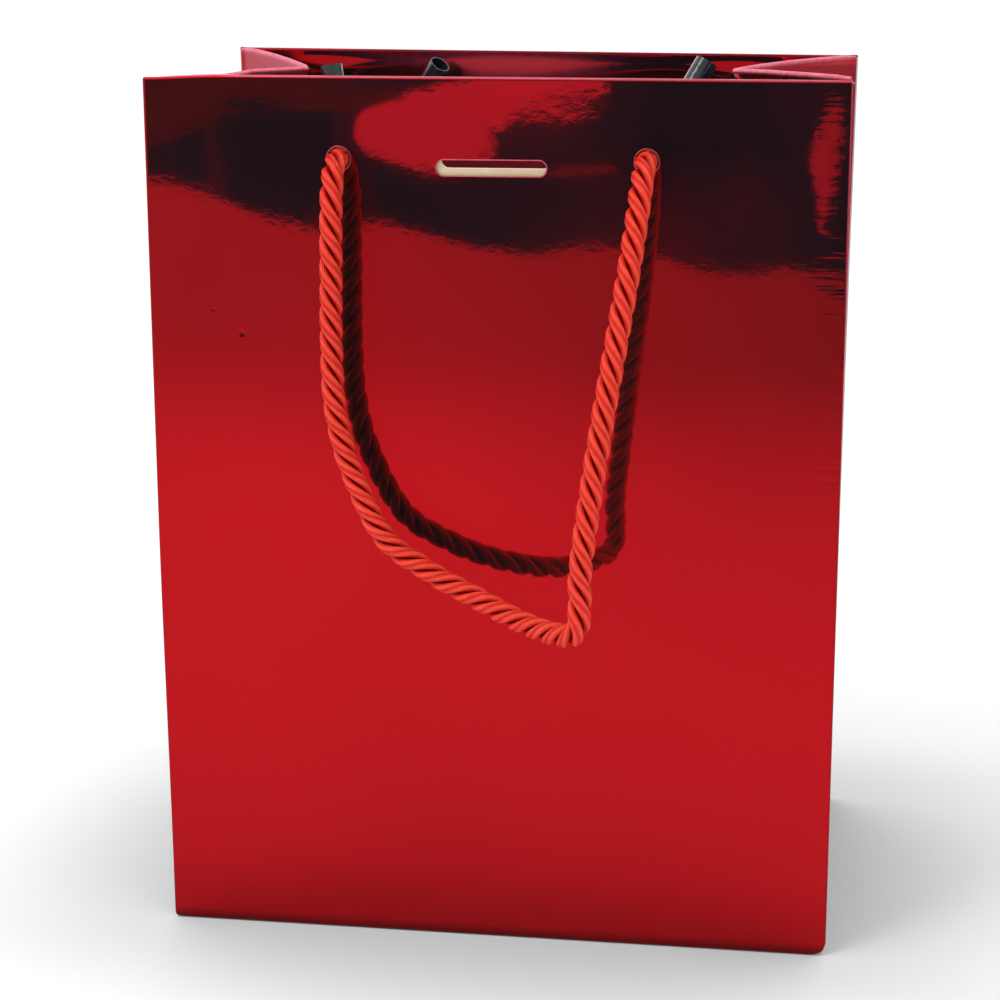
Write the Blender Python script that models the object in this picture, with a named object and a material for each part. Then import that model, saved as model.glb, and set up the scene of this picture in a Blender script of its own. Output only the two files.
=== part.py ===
"""A foil gift bag with rope handles, built from the folded sheets, cards and cords of the real one.

Metres, +Z up. The front faces -Y, and the origin is on the floor under the middle of the bag.
"""

import math

import bmesh
import bpy
from mathutils import Matrix, Vector

# Bag: a printed sheet folded into two walls, two gussets and a glued bottom
BAG_WIDTH = 0.180
BAG_DEPTH = 0.110
PANEL_HEIGHT = 0.230
MOUTH_DRAW_IN = 0.010
PAPER = 0.0004
GAP = 0.0003

# Turned-in top hem with the card that stiffens it
HEM_HEIGHT = 0.040
HEM_END_CLEARANCE = 0.005
HEM_LIP_ANGLE = 145
CARD_HEIGHT = 0.036
CARD_THICKNESS = 0.0015

# Punched holes and slot, measured down from the rim
HOLE_SPACING = 0.079
HOLE_DROP = 0.0202
HOLE_CLEARANCE = 0.0003
SLOT_LENGTH = 0.0288
SLOT_HEIGHT = 0.0044
SLOT_DROP = 0.0222
CARD_SLOT_RISE = 0.0020
CARD_SLOT_SHIFT = 0.0012

# Gussets
CREASE_CLEARANCE = 0.0006
SEAM_TAB_WIDTH = 0.016
SEAM_TAB_INSET = 0.0025

# Bottom: two long flaps glued over two side tucks, with a loose stiffening board on top
FLAP_OVERLAP = 0.030
FLAP_TAPER = 0.008
FLAP_STEP = 0.001
TUCK_DEPTH = 0.040
BOARD_THICKNESS = 0.0010
BOARD_END_CLEARANCE = 0.0030
BOARD_SIDE_CLEARANCE = 0.0020
BOARD_CORNER = 0.004

# Rope handles, their knots inside the wall and the plastic sleeves on their ends
ROPE_DIAMETER = 0.006
STUB_OUT = 0.0057
KNOT_DEPTH = 0.012
KNOT_DIAMETER = 0.0145
TIP_LENGTH = 0.013
TIP_DIAMETER = 0.0060
TIP_WALL = 0.0003
TIP_HOLLOW = 0.004
ROPE_SIDES_LEVEL = 3
ROPE_POINTS = 40
ROUND_STEPS = 24
CORNER_STEPS = 4
KNOT_STEPS = 8
PATH_STEPS = 20
DOME_ANGLES = (30, 55, 75)
SHARP_ANGLE = math.radians(40)

# Worked-out places
HALF_WIDTH = BAG_WIDTH / 2
GUSSET_HALF = BAG_DEPTH / 2
LAYER = PAPER + GAP
LEAN = math.asin(MOUTH_DRAW_IN / PANEL_HEIGHT)
CREASE_Z = LAYER
TUCK_Z = 2 * LAYER
BOARD_Z = 3 * LAYER
RIM_Z = CREASE_Z + PANEL_HEIGHT * math.cos(LEAN)
PANEL_TOP = PANEL_HEIGHT - LAYER
CARD_FRONT = LAYER
CARD_BACK = CARD_FRONT + CARD_THICKNESS
HEM_FRONT = CARD_BACK + GAP
HEM_BACK = HEM_FRONT + PAPER
ROPE_RADIUS = ROPE_DIAMETER / 2
HOLE_RADIUS = ROPE_RADIUS + HOLE_CLEARANCE
HOLE_HEIGHT = PANEL_HEIGHT - HOLE_DROP
KNOT_CENTRE = HEM_BACK + GAP + KNOT_DEPTH / 2
HANDLE_AXIS_OUT = STUB_OUT + GAP + ROPE_RADIUS
TIP_RADIUS = TIP_DIAMETER / 2
CORE_RADIUS = TIP_RADIUS - TIP_WALL - GAP

# The loop's way from its left end to its right: across, out from the wall, down from the rim
HANDLE_ROUTE = (
    (-0.0391, 0.0112, 0.0330),
    (-0.0392, 0.0120, 0.0500),
    (-0.0394, 0.0120, 0.0660),
    (-0.0388, 0.0120, 0.0820),
    (-0.0354, 0.0120, 0.0970),
    (-0.0264, 0.0140, 0.1152),
    (-0.0140, 0.0162, 0.1238),
    (-0.0010, 0.0200, 0.1294),
    (0.0120, 0.0278, 0.1332),
    (0.0215, 0.0365, 0.1334),
    (0.0272, 0.0425, 0.1312),
    (0.0283, 0.0425, 0.1248),
    (0.0282, 0.0410, 0.1160),
    (0.0302, 0.0380, 0.0980),
    (0.0328, 0.0340, 0.0785),
    (0.0354, 0.0290, 0.0605),
    (0.0374, 0.0232, 0.0455),
    (0.0388, 0.0168, 0.0325),
)

# Where each rope's tail ends, from its knot: across, into the bag, up
TAIL_ENDS = {
    "front_left": (-0.0042, 0.0027, 0.0225),
    "front_right": (0.0135, 0.0067, 0.0240),
    "back_left": (0.0125, 0.0067, 0.0190),
    "back_right": (-0.0170, 0.0070, 0.0100),
}


def new_material(name, colour, roughness, metallic):
    made = bpy.data.materials.new(name)
    made.use_nodes = True
    shader = made.node_tree.nodes["Principled BSDF"]
    shader.inputs["Base Color"].default_value = (*colour, 1)
    shader.inputs["Roughness"].default_value = roughness
    shader.inputs["Metallic"].default_value = metallic
    return made


def make_materials():
    return {
        "foil": new_material("red_foil", (0.47, 0.006, 0.012), 0.12, 1.0),
        "card": new_material("cream_card", (0.75, 0.58, 0.36), 0.8, 0.0),
        "board": new_material("grey_board", (0.42, 0.40, 0.37), 0.9, 0.0),
        "rope": new_material("red_rope", (0.83, 0.05, 0.03), 0.6, 0.0),
        "tip": new_material("clear_tip", (0.20, 0.22, 0.23), 0.15, 0.0),
    }


def add_empty(name, parent, place, turn):
    empty = bpy.data.objects.new(name, None)
    empty.parent = parent
    empty.location = place
    empty.rotation_euler = turn
    bpy.context.scene.collection.objects.link(empty)
    return empty


def add_object(name, data, parent, material=None):
    made = bpy.data.objects.new(name, data)
    made.parent = parent
    bpy.context.scene.collection.objects.link(made)
    if material:
        made.data.materials.clear()
        made.data.materials.append(material)
    return made


def as_helper(helper):
    helper.hide_render = True
    helper.display_type = "WIRE"
    return helper


def use_boolean(target, helper, operation):
    modifier = target.modifiers.new(helper.name, "BOOLEAN")
    modifier.operation = operation
    modifier.object = helper


def finish_mesh(name, bm):
    bmesh.ops.recalc_face_normals(bm, faces=bm.faces)
    mesh = bpy.data.meshes.new(name)
    bm.to_mesh(mesh)
    bm.free()
    return mesh


def prism(bm, outline, low, high, place):
    """Adds a solid with this flat outline. place(a, b, depth) puts a point of it in space."""
    ends = [[bm.verts.new(place(a, b, depth)) for a, b in outline] for depth in (low, high)]
    bm.faces.new(ends[0])
    bm.faces.new(ends[1])
    for i in range(len(outline)):
        j = (i + 1) % len(outline)
        bm.faces.new((ends[0][i], ends[0][j], ends[1][j], ends[1][i]))


def upright(a, b, depth):
    return (a, depth, b)


def across(a, b, depth):
    return (depth, a, b)


def lying(a, b, depth):
    return (a, b, depth)


def rectangle(left, bottom, right, top):
    return [(left, bottom), (right, bottom), (right, top), (left, top)]


def arc(centre, radius, start, end, steps):
    angles = [math.radians(start + (end - start) * i / steps) for i in range(steps + 1)]
    return [(centre[0] + radius * math.cos(t), centre[1] + radius * math.sin(t)) for t in angles]


def rounded_rectangle(half_a, half_b, corner):
    points = []
    for sign_a, sign_b, start in ((1, 1, 0), (-1, 1, 90), (-1, -1, 180), (1, -1, 270)):
        centre = (sign_a * (half_a - corner), sign_b * (half_b - corner))
        points += arc(centre, corner, start, start + 90, CORNER_STEPS)
    return points


def obround(centre, length, height):
    radius = height / 2
    reach = length / 2 - radius
    right = arc((centre[0] + reach, centre[1]), radius, -90, 90, ROUND_STEPS // 2)
    left = arc((centre[0] - reach, centre[1]), radius, 90, 270, ROUND_STEPS // 2)
    return right + left


def circle(centre, radius):
    return arc(centre, radius, 0, 360, ROUND_STEPS)[:-1]


def thick_sheet(name, points, faces, near, far, trims=()):
    """A sheet between two distances from the surface through these points, cut off at each trim.

    A trim is a point and a direction: what lies past the point in that direction goes.
    """
    skin = bmesh.new()
    corners = [skin.verts.new(point) for point in points]
    for face in faces:
        skin.faces.new([corners[i] for i in face])
    for place, away in trims:
        whole = skin.verts[:] + skin.edges[:] + skin.faces[:]
        bmesh.ops.bisect_plane(skin, geom=whole, plane_co=place, plane_no=away, clear_outer=True)
    skin.normal_update()
    skin.verts.index_update()
    solid = bmesh.new()
    sides = []
    for distance in (near, far):
        sides.append([solid.verts.new(v.co + v.normal * distance) for v in skin.verts])
    for side in sides:
        for face in skin.faces:
            solid.faces.new([side[v.index] for v in face.verts])
    for edge in skin.edges:
        if edge.is_boundary:
            a, b = (v.index for v in edge.verts)
            solid.faces.new((sides[0][a], sides[0][b], sides[1][b], sides[1][a]))
    skin.free()
    return finish_mesh(name, solid)


def turned(name, profile, frame, ring=False):
    """A solid turned about the Z axis of frame, from (radius, height) points in order. A ring is open inside."""
    bm = bmesh.new()
    rings = []
    for radius, height in profile:
        if radius == 0:
            rings.append([bm.verts.new(frame @ Vector((0, 0, height)))])
            continue
        around = [Vector((x, y, height)) for x, y in circle((0, 0), radius)]
        rings.append([bm.verts.new(frame @ point) for point in around])
    if ring:
        rings.append(rings[0])
    for first, second in zip(rings, rings[1:]):
        for i in range(ROUND_STEPS):
            j = (i + 1) % ROUND_STEPS
            corners = [first[i % len(first)], first[j % len(first)]]
            corners += [second[j % len(second)], second[i % len(second)]]
            bm.faces.new(list(dict.fromkeys(corners)))
    mesh = finish_mesh(name, bm)
    mesh.shade_smooth()
    mesh.set_sharp_from_angle(angle=SHARP_ANGLE)
    return mesh


def punch_mesh(name, slot_centre):
    """The cutter for two rope holes and the slot between them, through the whole wall."""
    bm = bmesh.new()
    outlines = [circle((side * HOLE_SPACING / 2, HOLE_HEIGHT), HOLE_RADIUS) for side in (-1, 1)]
    outlines.append(obround(slot_centre, SLOT_LENGTH, SLOT_HEIGHT))
    for outline in outlines:
        prism(bm, outline, -HEM_BACK, 2 * HEM_BACK, upright)
    return finish_mesh(name, bm)


def panel_mesh():
    bm = bmesh.new()
    prism(bm, rectangle(-HALF_WIDTH, 0, HALF_WIDTH, PANEL_TOP), 0, PAPER, upright)
    return finish_mesh("panel", bm)


def card_mesh():
    bm = bmesh.new()
    half = HALF_WIDTH - HEM_END_CLEARANCE
    outline = rectangle(-half, PANEL_HEIGHT - CARD_HEIGHT, half, PANEL_TOP)
    prism(bm, outline, CARD_FRONT, CARD_BACK, upright)
    return finish_mesh("card", bm)


def hem_mesh():
    """The sheet folded over the rim and down inside the card, as a hooked profile along the wall."""
    bm = bmesh.new()
    under = PANEL_HEIGHT - PAPER
    bend = PANEL_HEIGHT - LAYER
    profile = [(HEM_FRONT, PANEL_HEIGHT - HEM_HEIGHT), (HEM_BACK, PANEL_HEIGHT - HEM_HEIGHT)]
    profile += arc((HEM_BACK - LAYER, bend), LAYER, 0, 90, CORNER_STEPS)
    profile += arc((LAYER, bend), LAYER, 90, HEM_LIP_ANGLE, CORNER_STEPS)
    profile += [(PAPER, under), (HEM_FRONT, under)]
    half = HALF_WIDTH - HEM_END_CLEARANCE
    prism(bm, profile, -half, half, across)
    return finish_mesh("hem", bm)


def tail_frame(start, end):
    """A frame at start whose Z axis runs towards end."""
    turn = (end - start).to_track_quat("Z", "Y").to_matrix().to_4x4()
    return Matrix.Translation(start) @ turn


def knot_profile():
    """The stub's rounded end outside the wall, then the knot's bulge behind it."""
    bulge = KNOT_DIAMETER / 2
    start = math.asin(ROPE_RADIUS / bulge)
    profile = [(0, -STUB_OUT)]
    for angle in (*reversed(DOME_ANGLES), 0):
        t = math.radians(angle)
        profile.append((ROPE_RADIUS * math.cos(t), ROPE_RADIUS * (1 - math.sin(t)) - STUB_OUT))
    for i in range(KNOT_STEPS):
        angle = start + (math.pi - start) * i / KNOT_STEPS
        profile.append((bulge * math.sin(angle), KNOT_CENTRE - KNOT_DEPTH / 2 * math.cos(angle)))
    return profile + [(0, KNOT_CENTRE + KNOT_DEPTH / 2)]


def add_rope_end(name, side, tail, wall, materials):
    """A rope end: its stub through the hole, the knot that holds it, its tail and the tail's sleeve."""
    seat = Vector((side * HOLE_SPACING / 2, 0, HOLE_HEIGHT))
    inward = tail_frame(seat, seat + Vector((0, KNOT_CENTRE, 0)))
    knot = add_object(f"{name}_knot", turned("knot", knot_profile(), inward), wall, materials["rope"])

    centre = seat + Vector((0, KNOT_CENTRE, 0))
    along = tail_frame(centre, centre + Vector(tail))
    length = Vector(tail).length
    sleeve_start = length - TIP_LENGTH
    core_end = length - TIP_HOLLOW
    tail_profile = [(0, 0), (ROPE_RADIUS, 0), (ROPE_RADIUS, sleeve_start - GAP)]
    tail_profile += [(CORE_RADIUS, sleeve_start - GAP), (CORE_RADIUS, core_end), (0, core_end)]
    tail_rope = add_object(f"{name}_tail", turned("tail", tail_profile, along), wall)
    use_boolean(knot, as_helper(tail_rope), "UNION")

    bore = TIP_RADIUS - TIP_WALL
    sleeve = [(bore, sleeve_start), (TIP_RADIUS, sleeve_start), (TIP_RADIUS, length), (bore, length)]
    mesh = turned("tip", sleeve, along, ring=True)
    add_object(f"{name}_tip", mesh, wall, materials["tip"])


def smooth_path(route, count):
    """Points at even steps along a smooth curve through the route's points."""
    points = [Vector(point) for point in route]
    points = [2 * points[0] - points[1]] + points + [2 * points[-1] - points[-2]]
    fine = []
    for p0, p1, p2, p3 in zip(points, points[1:], points[2:], points[3:]):
        for i in range(PATH_STEPS):
            t = i / PATH_STEPS
            bend = 2 * p0 - 5 * p1 + 4 * p2 - p3
            twist = 3 * (p1 - p2) + p3 - p0
            fine.append((2 * p1 + (p2 - p0) * t + bend * t * t + twist * t ** 3) / 2)
    fine.append(points[-2])
    along = [0]
    for a, b in zip(fine, fine[1:]):
        along.append(along[-1] + (b - a).length)
    path = []
    at = 0
    for i in range(count):
        want = along[-1] * i / (count - 1)
        while at < len(fine) - 2 and along[at + 1] < want:
            at += 1
        share = (want - along[at]) / (along[at + 1] - along[at])
        path.append(fine[at].lerp(fine[at + 1], share))
    return path


def dome(centre, outward):
    """Points and widths that round off a rope's end about a point on its middle line."""
    angles = [math.radians(angle) for angle in DOME_ANGLES]
    return [(centre + outward * ROPE_RADIUS * math.sin(t), math.cos(t)) for t in angles]


def handle_curve():
    """The free loop of rope, measured from the line that it swings about."""
    ends = [(side * HOLE_SPACING / 2, HANDLE_AXIS_OUT, HOLE_DROP) for side in (-1, 1)]
    route = [ends[0], *HANDLE_ROUTE, ends[1]]
    local = [(x, HANDLE_AXIS_OUT - out, HOLE_DROP - drop) for x, out, drop in route]
    curve = bpy.data.curves.new("handle", "CURVE")
    curve.dimensions = "3D"
    curve.bevel_depth = ROPE_RADIUS
    curve.bevel_resolution = ROPE_SIDES_LEVEL
    curve.use_fill_caps = True
    path = smooth_path(local, ROPE_POINTS)
    start = dome(path[0], (path[0] - path[1]).normalized())
    end = dome(path[-1], (path[-1] - path[-2]).normalized())
    whole = start[::-1] + [(place, 1) for place in path] + end
    spline = curve.splines.new("POLY")
    spline.points.add(len(whole) - 1)
    for point, (place, width) in zip(spline.points, whole):
        point.co = (*place, 1)
        point.radius = width
    return curve


def build_wall(name, side, meshes, materials):
    """One leaning wall with its hem, card, rope ends and handle. side is -1 in front, 1 behind."""
    turn = (-LEAN, 0, 0) if side < 0 else (-LEAN, 0, math.pi)
    wall = add_empty(f"{name}_wall_hinge", None, (0, side * GUSSET_HALF, CREASE_Z), turn)
    sheet_punch = as_helper(add_object(f"{name}_sheet_punch", meshes["sheet_punch"], wall))
    card_punch = as_helper(add_object(f"{name}_card_punch", meshes["card_punch"], wall))
    panel = add_object(f"{name}_panel", meshes["panel"], wall, materials["foil"])
    use_boolean(panel, sheet_punch, "DIFFERENCE")
    card = add_object(f"{name}_card", meshes["card"], wall, materials["card"])
    use_boolean(card, card_punch, "DIFFERENCE")
    hem = add_object(f"{name}_hem", meshes["hem"], wall, materials["foil"])
    use_boolean(hem, card_punch, "DIFFERENCE")
    for across_name, across_side in (("left", -1), ("right", 1)):
        rope_end = f"{name}_{across_name}"
        dx, dy, dz = TAIL_ENDS[rope_end]
        flip = -side
        add_rope_end(rope_end, flip * across_side, (flip * dx, dy, dz), wall, materials)
    place = (0, -HANDLE_AXIS_OUT, HOLE_HEIGHT)
    hinge = add_empty(f"{name}_handle_hinge", wall, place, (0, 0, 0))
    add_object(f"{name}_handle", meshes["handle"], hinge, materials["rope"])
    return wall


def build_seam_tab(wall, materials):
    """The glued strip inside the back wall, where the sheet's two ends meet."""
    bm = bmesh.new()
    left = -HALF_WIDTH + SEAM_TAB_INSET
    top = PANEL_HEIGHT - HEM_HEIGHT - GAP
    outline = rectangle(left, TUCK_Z + PAPER, left + SEAM_TAB_WIDTH, top)
    prism(bm, outline, LAYER, LAYER + PAPER, upright)
    add_object("side_seam_tab", finish_mesh("side_seam_tab", bm), wall, materials["foil"])


def gusset_corners(side, end):
    """The outer corners of half a gusset: wall edge bottom and top, crease top, crease foot."""
    foot_height = GUSSET_HALF / (1 + math.tan(LEAN))
    foot_tuck = math.sqrt(GUSSET_HALF ** 2 - foot_height ** 2)
    rim_half = GUSSET_HALF - MOUTH_DRAW_IN
    rim_tuck = math.sqrt(GUSSET_HALF ** 2 - rim_half ** 2)
    return (
        Vector((side * HALF_WIDTH, end * GUSSET_HALF, CREASE_Z)),
        Vector((side * HALF_WIDTH, end * rim_half, RIM_Z)),
        Vector((side * (HALF_WIDTH - rim_tuck), 0, RIM_Z)),
        Vector((side * (HALF_WIDTH - foot_tuck), 0, CREASE_Z + foot_height)),
    )


def half_gusset(side, end):
    """Half a gusset's corners and faces, bent along the line from its top corner to its crease foot."""
    base, corner, crease, foot = gusset_corners(side, end)
    edge = 2 * PAPER + GAP
    up = (corner - base).normalized()
    to_crease = (crease - corner).normalized()
    to_foot = (foot - base - up * (foot - base).dot(up)).normalized()
    off_centre = Vector((0, end * GAP, 0))
    lift = up * CREASE_CLEARANCE
    points = (
        base + to_foot * edge + up * edge + lift,
        corner + to_crease * edge,
        crease + off_centre,
        foot + off_centre + lift,
    )
    faces = ((3, 1, 0), (3, 2, 1)) if side * end > 0 else ((0, 1, 3), (1, 2, 3))
    return points, faces


def gusset_hem_trims(points):
    """Cuts that leave the top strip of half a gusset, clear of the wall beside it."""
    corner, crease = points[1], points[2]
    inward = (crease - corner).normalized()
    wall_side = corner + inward * (LAYER + GAP)
    bottom = Vector((0, 0, RIM_Z - HEM_HEIGHT))
    return ((wall_side, -inward), (bottom, Vector((0, 0, -1))))


def lower_gusset(name, side):
    """The triangle between the two slanted creases at the foot of a gusset, leaning into the bag."""
    foot = gusset_corners(side, -1)[3]
    lean_in = math.acos((foot.z - CREASE_Z) / GUSSET_HALF)
    start = TUCK_Z + LAYER - CREASE_Z
    top = GUSSET_HALF - math.sqrt(2) * CREASE_CLEARANCE
    flat = ((start - top, start), (top - start, start), (0, top))
    points = []
    for along, up in flat:
        x = side * (HALF_WIDTH - up * math.sin(lean_in))
        points.append((x, along, CREASE_Z + up * math.cos(lean_in)))
    face = (0, 1, 2) if side < 0 else (2, 1, 0)
    return thick_sheet(name, points, (face,), 0, PAPER)


def build_gussets(materials):
    for side_name, side in (("left", -1), ("right", 1)):
        for end_name, end in (("front", -1), ("rear", 1)):
            name = f"{side_name}_gusset_{end_name}"
            points, faces = half_gusset(side, end)
            mesh = thick_sheet(name, points, faces, 0, PAPER)
            add_object(name, mesh, None, materials["foil"])
            trims = gusset_hem_trims(points)
            mesh = thick_sheet(f"{name}_hem", points, faces, LAYER, LAYER + PAPER, trims)
            add_object(f"{name}_hem", mesh, None, materials["foil"])
        name = f"{side_name}_lower_gusset"
        add_object(name, lower_gusset(name, side), None, materials["foil"])


def add_plate(name, outline, low, high, material, place=lying):
    bm = bmesh.new()
    prism(bm, outline, low, high, place)
    return add_object(name, finish_mesh(name, bm), None, material)


def build_bottom(materials):
    reach = FLAP_OVERLAP / 2
    free = HALF_WIDTH - FLAP_TAPER
    crease = [(-HALF_WIDTH, -GUSSET_HALF), (HALF_WIDTH, -GUSSET_HALF)]
    front = crease + [(free, reach), (-free, reach)]
    add_plate("bottom_front_flap", front, 0, PAPER, materials["foil"])

    # The rear flap steps up over the front one, so its side view is drawn and its ends are tapered
    step = reach + 2 * GAP
    low_side = [(GUSSET_HALF, 0), (step + FLAP_STEP, 0), (step, LAYER), (-reach, LAYER)]
    high_side = [(-reach, LAYER + PAPER), (step, LAYER + PAPER)]
    high_side += [(step + FLAP_STEP, PAPER), (GUSSET_HALF, PAPER)]

    def tapered(y, z, end):
        return (end * (free + FLAP_TAPER * (y + reach) / (GUSSET_HALF + reach)), y, z)

    add_plate("bottom_rear_flap", low_side + high_side, -1, 1, materials["foil"], tapered)

    half = GUSSET_HALF - LAYER - 2 * GAP
    for name, side in (("left_tuck", -1), ("right_tuck", 1)):
        inner = HALF_WIDTH - TUCK_DEPTH
        outline = [(side * HALF_WIDTH, -half), (side * HALF_WIDTH, half)]
        outline += [(side * inner, half - TUCK_DEPTH), (side * inner, TUCK_DEPTH - half)]
        add_plate(name, outline, TUCK_Z, TUCK_Z + PAPER, materials["foil"])

    half_length = HALF_WIDTH - BOARD_END_CLEARANCE
    half_width = GUSSET_HALF - BOARD_SIDE_CLEARANCE
    outline = rounded_rectangle(half_length, half_width, BOARD_CORNER)
    add_plate("base_board", outline, BOARD_Z, BOARD_Z + BOARD_THICKNESS, materials["board"])


def main():
    for old in list(bpy.data.objects):
        bpy.data.objects.remove(old)
    materials = make_materials()
    slot_height = PANEL_HEIGHT - SLOT_DROP
    meshes = {
        "sheet_punch": punch_mesh("sheet_punch", (0, slot_height)),
        "card_punch": punch_mesh("card_punch", (CARD_SLOT_SHIFT, slot_height + CARD_SLOT_RISE)),
        "panel": panel_mesh(),
        "card": card_mesh(),
        "hem": hem_mesh(),
        "handle": handle_curve(),
    }
    build_wall("front", -1, meshes, materials)
    back = build_wall("back", 1, meshes, materials)
    build_seam_tab(back, materials)
    build_gussets(materials)
    build_bottom(materials)


main()
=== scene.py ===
"""Looks of a foil gift bag with rope handles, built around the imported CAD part.

Metres, +Z up, the front faces -Y. A wall's own points are across, in from its outer face,
and up from its crease.
"""

import math

import bpy
import numpy as np
from mathutils import Euler, Matrix, Vector


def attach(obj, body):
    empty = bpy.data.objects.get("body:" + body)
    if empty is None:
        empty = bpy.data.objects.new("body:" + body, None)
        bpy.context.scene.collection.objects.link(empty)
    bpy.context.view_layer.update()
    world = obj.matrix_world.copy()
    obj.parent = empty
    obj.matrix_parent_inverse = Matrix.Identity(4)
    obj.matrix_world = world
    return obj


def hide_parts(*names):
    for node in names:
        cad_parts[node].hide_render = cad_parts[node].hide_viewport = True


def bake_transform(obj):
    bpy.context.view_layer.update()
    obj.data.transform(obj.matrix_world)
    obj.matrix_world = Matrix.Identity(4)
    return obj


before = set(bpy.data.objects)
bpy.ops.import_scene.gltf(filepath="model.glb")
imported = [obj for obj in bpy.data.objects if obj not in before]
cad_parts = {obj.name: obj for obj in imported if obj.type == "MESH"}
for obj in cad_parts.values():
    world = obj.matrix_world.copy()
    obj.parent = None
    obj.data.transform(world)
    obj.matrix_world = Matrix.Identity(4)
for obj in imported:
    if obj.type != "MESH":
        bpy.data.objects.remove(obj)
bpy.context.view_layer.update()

# Bag
HALF_WIDTH = 0.090
GUSSET_HALF = 0.055
PANEL_HEIGHT = 0.230
MOUTH_DRAW_IN = 0.010
CREASE_Z = 0.0007
PAPER = 0.0004
WALL_THICK = 0.0029
GUSSET_THICK = 0.0011
HEM_HEIGHT = 0.040
FLAP_REACH = 0.015
FLAP_TAPER = 0.008
FLAP_STEP = 0.001
FLAP_GAP = 0.0006
TUCK_DEPTH = 0.040
TUCK_HALF = 0.0537
TUCK_Z = 0.0014
TUCK_ROOM = 0.0008
TUCK_LIP = 0.0036
TUCK_LIP_TAPER = 1.2
LEAN = math.asin(MOUTH_DRAW_IN / PANEL_HEIGHT)
RIM_Z = CREASE_Z + PANEL_HEIGHT * math.cos(LEAN)

# Folds
BOTTOM_CURL = 0.0010
BOTTOM_LIFT = 0.00035
RIM_ROUND = 0.0006
CORNER_ROUND = 0.0006
CORNER_TURN = math.radians(100)
HEM_HALF_WIDTH = 0.0868
CREASE_ROUND = 0.0009
GUSSET_START = 0.0008
GUSSET_CLEARANCE = 0.0003
SEAM_SHARE = 0.6
SEAM_LENGTH = 0.006
GUSSET_BEAD = 0.0002
BEAD_LENGTH = 0.0016
BEAD_ROWS = (0.0050, 0.0034, 0.0022, 0.0014, 0.0008, 0.0004, 0.0)
HEM_PUFF = {"front": 0.0, "back": 0.0029}
PUFF_LENGTH = 0.036
PUFF_WAVE = 0.065
KNOT_HOLD = 0.012
GRID_STEP = 0.0022
SUPPORT = 0.00015
FLAT_FACING = 0.99
SHARP_ANGLE = math.radians(40)

# How each wall's rim and the upper part of its own left and right folds are painted: above 0 pale pink for
# wear and painted highlight, below 0 dark as painted shade
WALL_WEAR_AND_LIGHT = {"front": (0.6, -0.15, 0.4), "back": (-0.75, 0.1, 0.1)}
# Painted shade at the rim's left end, turning to the rim's own tone between these two places across
RIM_END_SHADE = -0.5
RIM_TONE_START = -0.078
RIM_TONE_FULL = -0.060
RIM_TONE_GAIN = 1.6
# A paler, rougher patch on each hem that paints in a reflection: amount, place across, width
HEM_PALE_PATCH = {"front": (0.0, 0.0, 0.03), "back": (0.2, 0.013, 0.036)}
# Painted shade along the bottom curl, where the bag stands on the floor
BOTTOM_SHADE = -0.65
# The side folds are painted darker low down and take their own tone above
FOLD_DARKENING = -0.3
FOLD_TONE_START = 0.13
FOLD_TONE_FULL = 0.20
LIP_WEAR = 0.7
GUSSET_FADE = 0.0005
WRINKLE_START = 0.079
WRINKLE_FULL = 0.089

# Punching
HOLE_X = 0.0395
HOLE_DROP = 0.0202
HOLE_RADIUS = 0.0033
SLOT_DROP = 0.0222
SLOT_HALF_LENGTH = 0.0144
SLOT_RADIUS = 0.0022
INNER_SLOT_RISE = 0.0020
INNER_SLOT_SHIFT = 0.0012
LIP_RADIUS = 0.00018
LIP_INSET = 0.00012
CARD_LIP_RADIUS = 0.00022
CARD_FACE = 0.0007
WALL_PUNCH = (-0.003, 0.0011)
HEM_PUNCH = (0.0020, 0.006)

# Rope
LAID_RADIUS = 0.00315
KNOT_ROPE_RADIUS = 0.0027
STRAND_SHARE = 0.43
STRAND_ANGLES = (0.25, 0.5, 0.85, 1.3, 1.85, 2.5)
GROOVE_DEPTH = 0.22
GROOVE_WIDTH = 0.40
GROOVE_SHADE = 0.60
YARN_ROUND = 0.009
HOLE_PINCH = 0.14
PINCH_LENGTH = 0.009
LAY_LENGTH = 0.0182
ROPE_STEP = 0.0008
KNOT_DEPTH_IN = 0.0092
TAIL_START = (0.0078, 0.0105)
TIP_LENGTH = 0.013
TIP_HOLLOW = 0.008
TIP_RADIUS = 0.0029
TIP_WALL = 0.0003
TIP_SIDES = 24

# The loop from its left hole to its right: across, out from the wall, down from the rim
LOOP_ROUTE = (
    (-0.0395, -0.0040, 0.0202),
    (-0.0395, 0.0010, 0.0202),
    (-0.0394, 0.0058, 0.0218),
    (-0.0392, 0.0092, 0.0262),
    (-0.0391, 0.0112, 0.0330),
    (-0.0392, 0.0120, 0.0500),
    (-0.0394, 0.0120, 0.0660),
    (-0.0388, 0.0120, 0.0820),
    (-0.0354, 0.0120, 0.0970),
    (-0.0264, 0.0140, 0.1152),
    (-0.0140, 0.0162, 0.1238),
    (-0.0010, 0.0200, 0.1294),
    (0.0120, 0.0278, 0.1332),
    (0.0215, 0.0365, 0.1334),
    (0.0272, 0.0425, 0.1312),
    (0.0283, 0.0425, 0.1248),
    (0.0282, 0.0410, 0.1160),
    (0.0302, 0.0380, 0.0980),
    (0.0328, 0.0340, 0.0785),
    (0.0354, 0.0290, 0.0605),
    (0.0374, 0.0232, 0.0455),
    (0.0388, 0.0168, 0.0325),
    (0.0393, 0.0110, 0.0248),
    (0.0395, 0.0055, 0.0208),
    (0.0395, 0.0010, 0.0202),
    (0.0395, -0.0040, 0.0202),
)

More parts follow.
